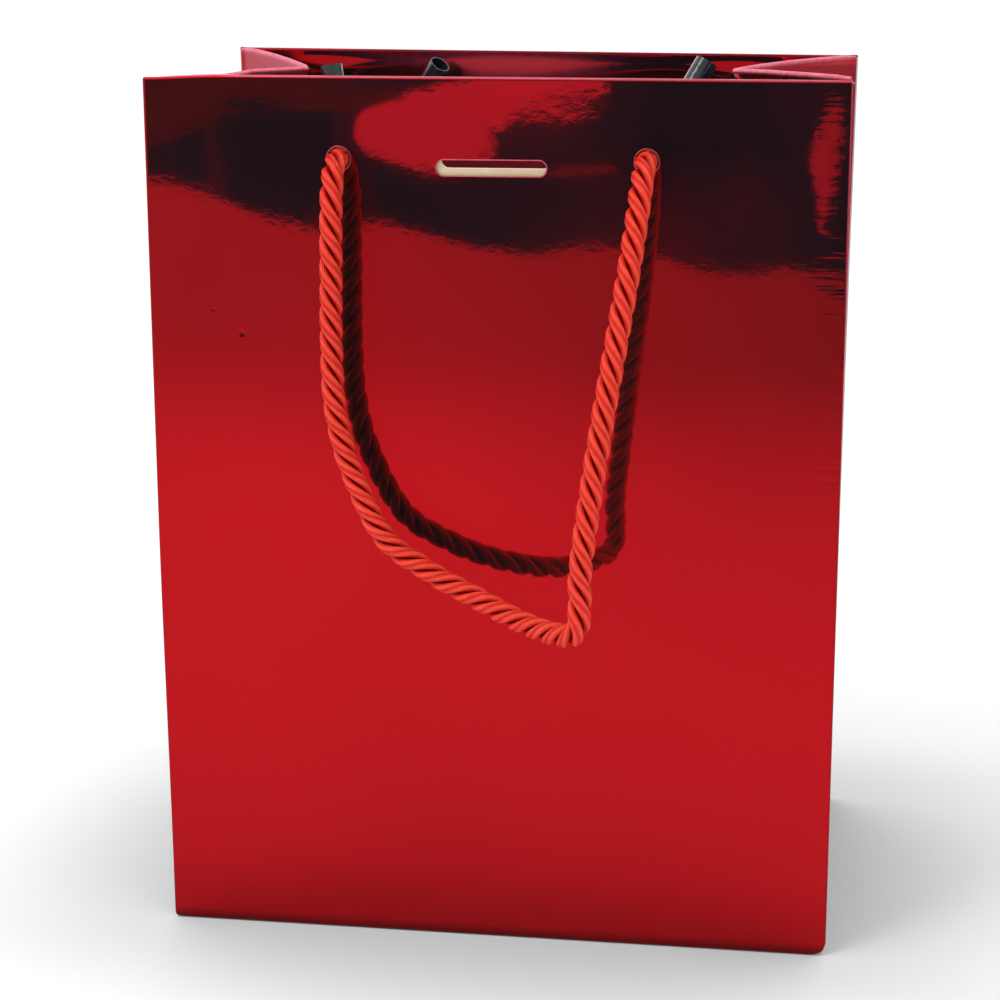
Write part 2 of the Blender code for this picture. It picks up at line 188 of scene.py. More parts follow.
# An overhand knot behind a hole, up to where its tail leaves: across, in, up
KNOT_ROUTE = (
    (0.0000, 0.0020, 0.0000),
    (0.0000, 0.0055, 0.0003),
    (0.0004, 0.0098, 0.0010),
    (0.0036, 0.0130, 0.0008),
    (0.0068, 0.0110, -0.0010),
    (0.0060, 0.0076, -0.0044),
    (0.0010, 0.0062, -0.0061),
    (-0.0044, 0.0064, -0.0046),
    (-0.0061, 0.0078, 0.0004),
    (-0.0034, 0.0094, 0.0044),
)

# Where each tail ends, from the middle of its knot: across, into the bag, up
TAIL_ENDS = {
    "front_left": (-0.0042, 0.0027, 0.0225),
    "front_right": (0.0135, 0.0067, 0.0240),
    "back_left": (0.0122, 0.0067, 0.0180),
    "back_right": (-0.0170, 0.0070, 0.0100),
}

# Slow waves of each wall's foil: height, length across, length up, phase
WALL_WAVES = {
    "front": ((0.00003, 0.11, 0.16, 0.6), (0.00002, -0.07, 0.09, 2.1), (0.00001, 0.05, 0.05, 4.0)),
    "back": ((0.00006, -0.12, 0.15, 1.6), (0.00004, 0.08, 0.10, 0.4), (0.000015, -0.05, 0.06, 3.0)),
}
WAVE_FOOT = 0.012
WAVE_HEAD = 0.008

# How far each gusset half bellies along the bag at the rim, how far its rim sags and rises to the wall,
# and how pale its face is painted, for wear and a painted reflection
GUSSET_SLACK = {
    "left_gusset_front": (-0.0030, 0.0008, 0.0, 0.0),
    "left_gusset_rear": (0.0, 0.0, 0.0, 0.0),
    "right_gusset_front": (-0.0010, 0.0, 0.0012, 0.0),
    "right_gusset_rear": (0.0, 0.0, 0.0, 0.1),
}
BELLY_START = 0.34
BELLY_FULL = 0.54
CREASE_DIP = 0.0008
GUSSET_WAVE = 0.0006
LOWER_GUSSET_SPAN = (0.01, 0.997)
LOWER_GUSSET_BOW = 0.0004

# How handling has left the bag: its back rim to one side and tilted, its front left edge pulled out
# and the rim there up, its bottom front corners blunted
RACK_START = -0.02
RACK_ACROSS = 0.0011
RACK_LIFT = 0.0009
RACK_TILT = 0.00095
PULL_START = 0.045
PULL_HEIGHT = 0.12
PULL_ACROSS = 0.0008
PULL_LIFT = 0.0009
PULL_DROOP = 0.8
DROOP_START = 0.068
BLUNT_RADII = {-1: 0.0015, 1: 0.0038}
BLUNT_START = 0.035
BLUNT_END = 0.048

# Small dents in the front wall: across, up, radius, depth
DENTS = (
    (-0.0735, 0.1710, 0.0008, 0.00016),
    (-0.0660, 0.1650, 0.0014, 0.00012),
    (0.0486, 0.0350, 0.0008, 0.00016),
)

# What the foil mirrors: the feet of a dark screen and of a grey card, as across and along the bag
SCREEN_FOOT = (
    (-2.6, -7.0), (-1.39, -4.55), (-0.73, -3.01), (-0.42, -2.88), (-0.17, -2.66), (0.07, -2.29), (0.9, -1.0),
)
SCREEN_HEIGHT = 0.6
SCREEN_TINT = (0.02, 0.45, 1.0, 1)
SCREEN_GLOW = 0.35
SIDE_CARD_FOOT = ((1.0, -1.4), (1.3, 1.2))
SIDE_CARD_GREY = (0.48, 0.48, 0.50, 1)

# Glowing cards before the screen: place along the bag, strength, and outline as across, up
GLOW_STEP = 0.004
GLOW_CARDS = {
    "main_glow": (-1.90, 1.0, (
        (-0.451, 0.170), (-0.432, 0.212), (-0.386, 0.228), (-0.320, 0.213),
        (-0.294, 0.179), (-0.301, 0.157), (-0.366, 0.141), (-0.433, 0.153),
    )),
    "upper_glow": (-1.92, 1.05, (
        (-0.394, 0.238), (-0.284, 0.238), (-0.184, 0.232), (-0.176, 0.214),
        (-0.221, 0.206), (-0.267, 0.198), (-0.290, 0.183), (-0.350, 0.207),
    )),
    "dim_glow": (-1.95, 0.065, (
        (-0.720, 0.246), (-0.480, 0.250), (-0.405, 0.246), (-0.415, 0.214),
        (-0.500, 0.203), (-0.590, 0.190), (-0.660, 0.168), (-0.725, 0.160),
    )),
    "low_glow": (-1.90, 0.35, (
        (-0.245, 0.1465), (-0.200, 0.1495), (-0.155, 0.1535),
        (-0.150, 0.1500), (-0.190, 0.1455), (-0.240, 0.1430),
    )),
    "side_glow": (-1.90, 0.62, (
        (0.077, 0.225), (0.082, 0.165), (0.071, 0.092), (0.063, 0.084),
        (0.058, 0.126), (0.048, 0.153), (0.050, 0.178), (0.064, 0.206),
    )),
}

# The floor, and the shade painted on it far in front, to the right and close round the bag
FLOOR_REACH = 15
FLOOR_PALE = (0.88, 0.88, 0.88)
FAR_SPAN = (0.6, 1.5)
FAR_SHADE_SHARE = 0.68
RIGHT_BEARINGS = (-0.22, 0.05)
RIGHT_SPAN = (0.3, 1.3)
RIGHT_SHADE_DEPTH = 0.42
FOOT_AHEAD = 0.12
FOOT_BESIDE = 0.20
FOOT_SHADOW_DEPTH = 0.2

# Light and camera
SKY_STRENGTHS = (0.75, 1.65)
KEY_PLACE = (-0.6, -0.6, 1.3)
KEY_AIM = (0, 0, 0.1)
KEY_SIZE = 0.6
KEY_POWER = 6
LENS = 80.885
SENSOR_WIDTH = 36
CAMERA_PLACE = (0.0899, -0.6097, 0.2767)
CAMERA_TURN = (math.radians(74.768), math.radians(0.482), math.radians(8.775))


def add_node(tree, kind, inputs=None, **settings):
    node = tree.nodes.new(kind)
    for key, value in settings.items():
        setattr(node, key, value)
    for key, value in (inputs or {}).items():
        if isinstance(value, bpy.types.NodeSocket):
            tree.links.new(value, node.inputs[key])
        else:
            node.inputs[key].default_value = value
    return node


def new_material(name):
    """A new material and its shader."""
    made = bpy.data.materials.new(name)
    made.use_nodes = True
    return made, made.node_tree, made.node_tree.nodes["Principled BSDF"]


def mixed_colour(tree, factor, *colours):
    """A colour that runs evenly through these as the factor goes from 0 to 1."""
    ramp = add_node(tree, "ShaderNodeValToRGB", {"Fac": factor})
    stops = ramp.color_ramp.elements
    for i in range(1, len(colours) - 1):
        stops.new(i / (len(colours) - 1))
    for stop, colour in zip(stops, colours):
        stop.color = (*colour, 1)
    return ramp.outputs["Color"]


def mixed(tree, factor, first, second):
    """One colour that goes over into another as the factor goes from 0 to 1."""
    mix = add_node(tree, "ShaderNodeMix", {"Factor": factor}, data_type="RGBA", clamp_factor=True)
    sockets = [socket for socket in mix.inputs if socket.type == "RGBA"]
    for socket, value in zip(sockets, (first, second)):
        if isinstance(value, bpy.types.NodeSocket):
            tree.links.new(value, socket)
        else:
            socket.default_value = value
    return [socket for socket in mix.outputs if socket.type == "RGBA"][0]


def maths(tree, operation, first, second=0.0):
    return add_node(tree, "ShaderNodeMath", {0: first, 1: second}, operation=operation).outputs[0]


def ranged(tree, value, low, high, to_low=0.0, to_high=1.0, kind="LINEAR"):
    inputs = {"Value": value, "From Min": low, "From Max": high, "To Min": to_low, "To Max": to_high}
    return add_node(tree, "ShaderNodeMapRange", inputs, interpolation_type=kind).outputs["Result"]


def scaled_noise(tree, scale, detail, stretch=(1, 1, 1)):
    place = add_node(tree, "ShaderNodeTexCoord").outputs["Object"]
    moved = add_node(tree, "ShaderNodeMapping", {"Vector": place, "Scale": stretch})
    inputs = {"Vector": moved.outputs["Vector"], "Scale": scale, "Detail": detail}
    return add_node(tree, "ShaderNodeTexNoise", inputs).outputs["Fac"]


def add_bump(tree, height, strength, distance, before=None):
    inputs = {"Height": height, "Strength": strength, "Distance": distance}
    if before:
        inputs["Normal"] = before
    return add_node(tree, "ShaderNodeBump", inputs).outputs["Normal"]


def set_inputs(tree, shader, inputs):
    for key, value in inputs.items():
        if isinstance(value, bpy.types.NodeSocket):
            tree.links.new(value, shader.inputs[key])
        else:
            shader.inputs[key].default_value = value


def foil_material():
    """Laminated mirror foil: a red metal layer under clear film, on fibrous paper, pale pink where worn and
    where highlight is painted, and painted dark as shade.
    """
    made, tree, shader = new_material("red_foil")
    wear_and_light = add_node(tree, "ShaderNodeAttribute", attribute_name="wear_and_light").outputs["Fac"]
    cloud = scaled_noise(tree, 14, 2)
    colour = mixed_colour(tree, cloud, (0.375, 0.003, 0.006), (0.435, 0.004, 0.008))
    fibre = scaled_noise(tree, 520, 3, (0.9, 1, 1.5))
    peel = scaled_noise(tree, 90, 2)
    # Above 0 the wear_and_light attribute turns the foil pale pink and rough: wear, and in part a painted
    # highlight
    scuff_and_highlight = maths(tree, "MULTIPLY", wear_and_light, ranged(tree, fibre, 0.3, 0.7, 0.7, 1.0))
    rub_and_highlight = ranged(tree, scuff_and_highlight, 0.0, 0.5)
    pink = mixed_colour(tree, ranged(tree, scuff_and_highlight, 0.5, 1.0), (0.47, 0.062, 0.092), (0.74, 0.19, 0.26))
    colour = mixed(tree, rub_and_highlight, colour, pink)
    # Below 0 the attribute paints the foil dark, as shade
    colour = mixed(tree, maths(tree, "MULTIPLY", wear_and_light, -1.0), colour, (0.05, 0.001, 0.002, 1))
    clear = ranged(tree, fibre, 0.0, 1.0, 0.018, 0.045)
    rough = add_node(tree, "ShaderNodeMix", {"Factor": rub_and_highlight, "A": clear, "B": 0.45})
    bump = add_bump(tree, fibre, 0.018, 0.00015)
    bump = add_bump(tree, peel, 0.018, 0.0006, bump)
    bump = add_bump(tree, edge_wrinkles(tree), 0.12, 0.0004, bump)
    bump = add_bump(tree, dents(tree), 1.0, 1.0, bump)
    set_inputs(tree, shader, {
        "Base Color": colour, "Metallic": 1.0, "Roughness": rough.outputs["Result"], "Normal": bump,
        "Specular Tint": (0.90, 0.78, 0.88, 1), "Coat Weight": 0.16, "Coat Roughness": 0.5, "Coat IOR": 1.5,
    })
    return made


def edge_wrinkles(tree):
    """Short creases across the foil where it comes to its right-hand folds."""
    place = add_node(tree, "ShaderNodeTexCoord").outputs["Object"]
    across = add_node(tree, "ShaderNodeSeparateXYZ", {"Vector": place}).outputs["X"]
    ripple = maths(tree, "SUBTRACT", scaled_noise(tree, 120, 3, (0.3, 1, 3.0)), 0.5)
    return maths(tree, "MULTIPLY", ranged(tree, across, WRINKLE_START, WRINKLE_FULL), ripple)


def dents(tree):
    """Height of the front wall's small dents, with ragged rims."""
    place = add_node(tree, "ShaderNodeTexCoord").outputs["Object"]
    height = 0.0
    for across, up, radius, depth in DENTS:
        out = GUSSET_HALF - (up - CREASE_Z) * math.tan(LEAN)
        away = add_node(tree, "ShaderNodeVectorMath", {0: place, 1: (across, -out, up)}, operation="DISTANCE")
        dent = ranged(tree, away.outputs["Value"], 0.0, radius, -depth, 0.0, "SMOOTHSTEP")
        height = maths(tree, "ADD", height, dent)
    return maths(tree, "MULTIPLY", height, scaled_noise(tree, 700, 2))


def paper_material():
    """The sheet's plain white back and its cut edges."""
    made, tree, shader = new_material("white_paper")
    fibre = scaled_noise(tree, 420, 4)
    colour = mixed_colour(tree, fibre, (0.70, 0.67, 0.63), (0.83, 0.81, 0.78))
    set_inputs(tree, shader, {
        "Base Color": colour, "Roughness": 0.82, "Normal": add_bump(tree, fibre, 0.15, 0.0002),
    })
    return made


def card_material():
    """Cream card, with its layers showing where it is cut."""
    made, tree, shader = new_material("cream_card")
    fibre = scaled_noise(tree, 380, 4)
    layers = scaled_noise(tree, 900, 2, (0.1, 1, 0.1))
    blend = maths(tree, "MULTIPLY", fibre, layers)
    colour = mixed_colour(tree, blend, (0.62, 0.46, 0.27), (0.92, 0.76, 0.52))
    set_inputs(tree, shader, {
        "Base Color": colour, "Roughness": 0.8, "Normal": add_bump(tree, fibre, 0.2, 0.0002),
    })
    return made


def board_material():
    """Grey recycled board, with paler and darker fibres."""
    made, tree, shader = new_material("grey_board")
    fleck = scaled_noise(tree, 520, 5)
    colour = mixed_colour(tree, fleck, (0.30, 0.29, 0.27), (0.50, 0.48, 0.45))
    set_inputs(tree, shader, {
        "Base Color": colour, "Roughness": 0.9, "Normal": add_bump(tree, fleck, 0.25, 0.0003),
    })
    return made


def rope_material():
    """Satin cord: fine filaments round each strand, painted lighter on the ridges as highlight and darker
    towards the core as shade.
    """
    made, tree, shader = new_material("red_rope")
    # The ridge attribute is painted shade, set per point by the rope builder
    depth = add_node(tree, "ShaderNodeAttribute", attribute_name="ridge").outputs["Fac"]
    place = add_node(tree, "ShaderNodeUVMap", uv_map="strand").outputs["UV"]
    fine = add_node(tree, "ShaderNodeMapping", {"Vector": place, "Rotation": (0, 0, math.radians(70))})
    wave = add_node(tree, "ShaderNodeTexWave", {
        "Vector": fine.outputs["Vector"], "Scale": 620.0, "Distortion": 2.5,
        "Detail": 2.0, "Detail Scale": 1.5,
    })
    thread = wave.outputs["Fac"]
    share = maths(tree, "ADD", depth, maths(tree, "MULTIPLY", thread, 0.22))
    share = maths(tree, "ADD", share, maths(tree, "MULTIPLY", scaled_noise(tree, 650, 2), 0.4))
    share = maths(tree, "DIVIDE", share, 1.5)
    colour = mixed_colour(tree, share, (0.06, 0.0, 0.0), (0.62, 0.010, 0.004), (1.0, 0.085, 0.045))
    set_inputs(tree, shader, {
        "Base Color": colour, "Roughness": 0.4, "Normal": add_bump(tree, thread, 0.5, 0.00025),
        "Specular IOR Level": 0.2,
    })
    return made


def tip_material():
    """Clear sleeve tinted dark, with long lighter streaks painted along it as highlights."""
    made, tree, shader = new_material("clear_tip")
    highlight_streak = scaled_noise(tree, 900, 2, (1, 1, 0.06))
    colour = mixed_colour(tree, highlight_streak, (0.004, 0.005, 0.007), (0.05, 0.057, 0.07))
    set_inputs(tree, shader, {
        "Base Color": colour, "Roughness": 0.05, "Transmission Weight": 0.3, "IOR": 1.5,
        "Normal": add_bump(tree, highlight_streak, 0.3, 0.0002),
    })
    return made


def wall_matrix(side):
    """Where a wall stands on the bag, leaning in."""
    turn = Euler((-LEAN, 0, 0 if side < 0 else math.pi)).to_matrix().to_4x4()
    return Matrix.Translation((0, side * GUSSET_HALF, CREASE_Z)) @ turn


def smooth_step(value, low, high):
    t = np.clip((value - low) / (high - low), 0, 1)
    return t * t * (3 - 2 * t)


def settled(points):
    """Where handling has left these points of the bag."""
    x, y, z = points[..., 0], points[..., 1], points[..., 2]
    back = smooth_step(y, RACK_START, GUSSET_HALF - MOUTH_DRAW_IN) * np.clip(z / RIM_Z, 0, 1) ** 2
    shift = back * RACK_ACROSS
    lift = back * (RACK_LIFT - RACK_TILT * x / HALF_WIDTH)
    pulled = smooth_step(-y, 0, GUSSET_HALF - MOUTH_DRAW_IN)
    edge = pulled * smooth_step(-x, PULL_START, HALF_WIDTH) * smooth_step(z, 0, PULL_HEIGHT)
    shift = shift - edge * PULL_ACROSS
    rim = smooth_step(z, RIM_Z - HOLE_DROP, RIM_Z) * np.clip(0.5 - x / (2 * HALF_WIDTH), 0, 1)
    rim = rim * (1 - PULL_DROOP * smooth_step(-x, DROOP_START, HALF_WIDTH))
    lift = lift + pulled * rim * PULL_LIFT
    front = smooth_step(-y, BLUNT_START, BLUNT_END)
    for side, radius in BLUNT_RADII.items():
        out = np.clip(1 - (HALF_WIDTH - side * x) / radius, 0, 1)
        down = np.clip(1 - z / radius, 0, 1)
        shift = shift - side * front * radius * out * (1 - np.sqrt(1 - down ** 2 / 2))
        lift = lift + front * radius * down * (1 - np.sqrt(1 - out ** 2 / 2))
    return points + np.stack([shift, 0 * shift, lift], axis=-1)


def moved(points, matrix):
    """A wall's own points, put in their place on the bag."""
    place = np.array(matrix)
    return settled(points @ place[:3, :3].T + place[:3, 3])


def add_mesh(name, points, faces, materials, slots=None, smooth=True):
    """A named object from points in the row frame."""
    mesh = bpy.data.meshes.new(name)
    mesh.from_pydata([tuple(p) for p in points], [], [tuple(f) for f in faces])
    for material in materials:
        mesh.materials.append(material)
    if slots is not None:
        mesh.polygons.foreach_set("material_index", np.array(slots, np.int32))
    if smooth:
        mesh.shade_smooth()
        mesh.set_sharp_from_angle(angle=SHARP_ANGLE)
    made = bpy.data.objects.new(name, mesh)
    bpy.context.scene.collection.objects.link(made)
    return made


def set_points(made, name, values):
    attribute = made.data.attributes.new(name, "FLOAT", "POINT")
    attribute.data.foreach_set("value", np.array(values, np.float32).ravel())


def sheet(name, grid, wear_and_light, looks, cut=True, plain_rows=None):
    """A solid sheet whose outer face is this grid of points: foil outside, paper behind and at cut edges.

    Only the plain rows have a paper back. Behind the others two layers lie back to back.
    """
    rows, columns = grid.shape[:2]
    normal = np.cross(np.gradient(grid, axis=1), np.gradient(grid, axis=0))
    normal /= np.linalg.norm(normal, axis=2, keepdims=True)
    inner = grid - normal * PAPER
    points = np.concatenate([grid.reshape(-1, 3), inner.reshape(-1, 3)])
    at = np.arange(rows * columns).reshape(rows, columns)
    quads = np.stack([at[:-1, :-1], at[:-1, 1:], at[1:, 1:], at[1:, :-1]], axis=2).reshape(-1, 4)
    behind = quads[:, ::-1] + rows * columns
    ring = np.concatenate([at[0], at[1:, -1], at[-1, -2::-1], at[-2:0:-1, 0]])
    after = np.roll(ring, -1)
    border = np.stack([after, ring, ring + rows * columns, after + rows * columns], axis=1)
    plain = len(behind) if plain_rows is None else plain_rows * (columns - 1)
    slots = [0] * len(quads) + [1] * plain + [0] * (len(behind) - plain) + [int(cut)] * len(border)
    faces = np.concatenate([quads, behind, border])
    made = add_mesh(name, points, faces, [looks["foil"], looks["paper"]], slots)
    set_points(made, "wear_and_light", np.concatenate([wear_and_light.ravel(), wear_and_light.ravel()]))
    return made


def wall_profile():
    """Rows up a wall, over its rim and down its hem: in, up, which way is out, and the half width there."""
    rows = []
    for angle in np.radians(np.linspace(90, 15, 6)):
        place = (BOTTOM_CURL * (1 - math.cos(angle)), BOTTOM_LIFT - BOTTOM_CURL * math.sin(angle))
        rows.append((*place, -math.cos(angle), -math.sin(angle), HALF_WIDTH))
    top = PANEL_HEIGHT - RIM_ROUND
    steps = round(PANEL_HEIGHT / GRID_STEP)
    flat = [BOTTOM_LIFT, *np.linspace(BOTTOM_LIFT + SUPPORT, top - SUPPORT, steps), top]
    rows += [(0, z, -1, 0, HALF_WIDTH) for z in flat]
    for angle in np.radians(np.linspace(18, 90, 5)):
        cos, sin = math.cos(angle), math.sin(angle)
        rows.append((RIM_ROUND * (1 - cos), top + RIM_ROUND * sin, -cos, sin, HALF_WIDTH))
    back = WALL_THICK - RIM_ROUND
    for angle in np.radians(np.linspace(0, 90, 6)):
        cos, sin = math.cos(angle), math.sin(angle)
        rows.append((back + RIM_ROUND * sin, top + RIM_ROUND * cos, sin, cos, HEM_HALF_WIDTH))
    steps = round(HEM_HEIGHT / GRID_STEP)
    bottom = PANEL_HEIGHT - HEM_HEIGHT
    rows += [(WALL_THICK, z, 1, 0, HEM_HALF_WIDTH) for z in np.linspace(top - SUPPORT, bottom, steps)]
    return np.array(rows)


def wall_wave(x, z, waves):
    """How far the foil stands out from its plane: nothing along the wall's four edges."""
    out = np.zeros_like(x)
    for height, across, up, phase in waves:
        out += height * np.sin(2 * math.pi * (x / across + z / up) + phase)
    keep = 1 - np.clip(np.abs(x) / HALF_WIDTH, 0, 1) ** 6
    keep *= np.clip(z / WAVE_FOOT, 0, 1) * np.clip((PANEL_HEIGHT - z) / WAVE_HEAD, 0, 1)
    return out * keep


def hem_puff(name, x, down):
    """How far a wall's hem stands off its card: most under the rim, and held down by the knots."""
    t = np.clip(down / PUFF_LENGTH, 0, 1)
    keep = 1 - np.clip(np.abs(x) / HEM_HALF_WIDTH, 0, 1) ** 8
    held = ((np.abs(x) - HOLE_X) ** 2 + (down - HOLE_DROP) ** 2) / KNOT_HOLD ** 2
    keep = keep * (1 - np.exp(-held)) * (0.85 + 0.15 * np.sin(2 * math.pi * x / PUFF_WAVE + 0.8))
    return HEM_PUFF[name] * np.sin(math.pi * t) * (1 - t) * keep


def wall_grid(name):
    """A wall's outer face from its bottom curl over the rim to the hem's lower edge, and how it is painted
    there: pale for wear and painted highlight, dark for painted shade.
    """
    rows = wall_profile()
    turn = CORNER_TURN * np.linspace(1, 0, 6)[:-1]
    inner = 1 - SUPPORT / HALF_WIDTH
    flat = np.array([-1, *np.linspace(-inner, inner, round(2 * HALF_WIDTH / GRID_STEP)), 1])
    share = np.concatenate([-np.ones(len(turn)), flat, np.ones(len(turn))])
    angle = np.concatenate([turn, np.zeros(len(flat)), turn[::-1]])
    y, z, out_y, out_z, half = (rows[:, i][:, None] for i in range(5))
    x = share * (half - CORNER_ROUND) + np.sign(share) * CORNER_ROUND * np.sin(angle)
    drop = CORNER_ROUND * (1 - np.cos(angle))
    y = y - out_y * drop
    z = z - out_z * drop + 0 * x
    wave = wall_wave(x, z, WALL_WAVES[name])
    y = np.where(out_y < -FLAT_FACING, y - wave, y)
    y = np.where(out_y > FLAT_FACING, y + hem_puff(name, x, PANEL_HEIGHT - RIM_ROUND - SUPPORT - z), y)
    # The rim painted pale for wear and highlight, with painted shade at its left end on the front and along
    # the whole back rim
    rim, left, right = WALL_WEAR_AND_LIGHT[name]
    rim = RIM_END_SHADE + (rim - RIM_END_SHADE) * smooth_step(x, RIM_TONE_START, RIM_TONE_FULL)
    folded = np.where(out_z > 0, rim * np.clip(RIM_TONE_GAIN * out_z, 0, 1), 0)
    # Painted shade along the bottom curl
    folded = np.where(z < BOTTOM_LIFT + 2 * SUPPORT, BOTTOM_SHADE, folded)
    # A paler, rougher patch on the hem, which paints in a reflection
    amount, place, width = HEM_PALE_PATCH[name]
    folded = np.where(out_y > FLAT_FACING, amount * np.exp(-((x - place) / width) ** 4), folded)
    # The folds painted darker below their upper tone
    upper = smooth_step(z, FOLD_TONE_START, FOLD_TONE_FULL)
    edges = np.where(share < 0, left, right) * upper + FOLD_DARKENING * (1 - upper)
    edges = np.where(z < PANEL_HEIGHT / 2, edges, edges + folded)
    return np.stack([x, y, z], axis=2), np.where(angle > 0, edges, folded)


def outline_points(shift, rise, grow=0.0):
    """The two holes and the slot of a wall as loops of points: across, up."""
    loops = []
    turn = np.linspace(0, 2 * math.pi, 33)[:-1]
    up = PANEL_HEIGHT - HOLE_DROP
    for x in (-HOLE_X, HOLE_X):
        radius = HOLE_RADIUS + grow
        loops.append(np.stack([x + radius * np.cos(turn), up + radius * np.sin(turn)], axis=1))
    radius = SLOT_RADIUS + grow
    reach = SLOT_HALF_LENGTH - SLOT_RADIUS
    turn = np.linspace(-math.pi / 2, math.pi / 2, 17)
    right = np.stack([reach + radius * np.cos(turn), radius * np.sin(turn)], axis=1)
    slot = np.concatenate([right, -right])
    loops.append(slot + (shift, PANEL_HEIGHT - SLOT_DROP + rise))
    return loops


def punch(target, loops, near, far, matrix):
    """Cuts these loops through a wall between two depths."""
    points, faces = [], []
    for loop in loops:
        start, count = len(points), len(loop)
        for depth in (near, far):
            points += [(x, depth, z) for x, z in loop]
        faces.append([start + i for i in range(count)])
        faces.append([start + count + i for i in reversed(range(count))])
        for i in range(count):
            j = (i + 1) % count
            faces.append([start + j, start + i, start + count + i, start + count + j])
    slots = [1] * len(faces)
    cutter = add_mesh("punch", moved(np.array(points), matrix), faces, target.data.materials, slots, False)
    modifier = target.modifiers.new("punch", "BOOLEAN")
    modifier.object = cutter
    modifier.solver = "EXACT"
    cut = target.evaluated_get(bpy.context.evaluated_depsgraph_get())
    target.data = bpy.data.meshes.new_from_object(cut)
    target.modifiers.clear()
    bpy.data.objects.remove(cutter)


def tube(points, radius, sides, closed=False):
    """Points and faces of a round tube along a line of points."""
    points = np.asarray(points, float)
    ahead = np.roll(points, -1, axis=0) - np.roll(points, 1, axis=0)
    if not closed:
        ahead[0], ahead[-1] = points[1] - points[0], points[-1] - points[-2]
    ahead /= np.linalg.norm(ahead, axis=1, keepdims=True)
    side = carried(ahead)
    other = np.cross(ahead, side)
    turn = 2 * math.pi * np.arange(sides) / sides
    ring = side[:, None] * np.cos(turn)[None, :, None] + other[:, None] * np.sin(turn)[None, :, None]
    made = points[:, None] + radius * ring
    faces = []
    count = len(points)
    for i in range(count if closed else count - 1):
        j = (i + 1) % count
        for k in range(sides):
            m = (k + 1) % sides
            faces.append((i * sides + k, i * sides + m, j * sides + m, j * sides + k))
    return made.reshape(-1, 3), faces


def carried(ahead):
    """A direction square to each step of a line, turning as little as it can from step to step."""
    side = np.zeros_like(ahead)
    first = np.cross(ahead[0], (0.0, 0.0, 1.0))
    if np.linalg.norm(first) < 0.2:
        first = np.cross(ahead[0], (0.0, 1.0, 0.0))
    for i, step in enumerate(ahead):
        first = first - step * (first @ step)
        first = first / np.linalg.norm(first)
        side[i] = first
    return side


def smooth_path(route, step):
    """Points at even steps along a smooth curve through the route."""
    p = np.array(route, float)
    p = np.concatenate([[2 * p[0] - p[1]], p, [2 * p[-1] - p[-2]]])
    fine = []
    for a, b, c, d in zip(p, p[1:], p[2:], p[3:]):
        for t in np.linspace(0, 1, 24, endpoint=False):
            bend = (2 * a - 5 * b + 4 * c - d) * t * t
            fine.append((2 * b + (c - a) * t + bend + (3 * (b - c) + d - a) * t ** 3) / 2)
    fine = np.array(fine + [p[-2]])
    along = np.concatenate([[0], np.cumsum(np.linalg.norm(np.diff(fine, axis=0), axis=1))])
    at = np.linspace(0, along[-1], max(3, round(along[-1] / step)))
    return np.stack([np.interp(at, along, fine[:, k]) for k in range(3)], axis=1)


def rope(name, path, radius, material):
    """Three strands laid round each other along a path, each with a groove between its two yarns."""
    radius = np.broadcast_to(radius, len(path))[:, None]
    strand = STRAND_SHARE * radius
    reach = radius - strand
    ahead = np.gradient(path, axis=0)
    ahead /= np.linalg.norm(ahead, axis=1, keepdims=True)
    side = carried(ahead)
    other = np.cross(ahead, side)
    along = np.concatenate([[0], np.cumsum(np.linalg.norm(np.diff(path, axis=0), axis=1))])
    turn = np.array([0, *STRAND_ANGLES, math.pi, *(2 * math.pi - np.array(STRAND_ANGLES[::-1]))])
    sides = len(turn)
    groove = np.exp(-(np.minimum(turn, 2 * math.pi - turn) / GROOVE_WIDTH) ** 2)
    ridge = 1 - GROOVE_DEPTH * groove
    # Painted shade: each strand darker as it turns in towards the rope's core and into its groove
    shade = np.clip(0.38 + 1.1 * np.cos(turn), 0, 1) * (1 - GROOVE_SHADE * groove)
    points, faces, shades, uvs = [], [], [], []
    for number in range(3):
        spin = -2 * math.pi * along / LAY_LENGTH + number * 2 * math.pi / 3
        radial = side * np.cos(spin)[:, None] + other * np.sin(spin)[:, None]
        middle = path + radial * reach
        run = np.gradient(middle, axis=0)
        run /= np.linalg.norm(run, axis=1, keepdims=True)
        radial = radial - run * (radial * run).sum(1, keepdims=True)
        radial /= np.linalg.norm(radial, axis=1, keepdims=True)
        cross = np.cross(run, radial)
        ring = radial[:, None] * (ridge * np.cos(turn))[None, :, None]
        ring = ring + cross[:, None] * (ridge * np.sin(turn))[None, :, None]
        start = len(points)
        points += list((middle[:, None] + strand[:, None] * ring).reshape(-1, 3))
        shades += list(np.tile(shade, len(path)))
        for i in range(len(path) - 1):
            for k in range(sides):
                m = (k + 1) % sides
                faces.append([start + i * sides + k, start + i * sides + m,
                              start + (i + 1) * sides + m, start + (i + 1) * sides + k])
                low, high = along[i], along[i + 1]
                near, far = k / sides * YARN_ROUND, (k + 1) / sides * YARN_ROUND
                uvs += [(low, near), (low, far), (high, far), (high, near)]
        for i, order in ((0, range(sides - 1, -1, -1)), (len(path) - 1, range(sides))):
            faces.append([start + i * sides + k for k in order])
            uvs += [(along[i], 0.0)] * sides
    made = add_mesh(name, points, faces, [material])
    set_points(made, "ridge", shades)
    made.data.uv_layers.new(name="strand").data.foreach_set("uv", np.array(uvs, np.float32).ravel())
    return made


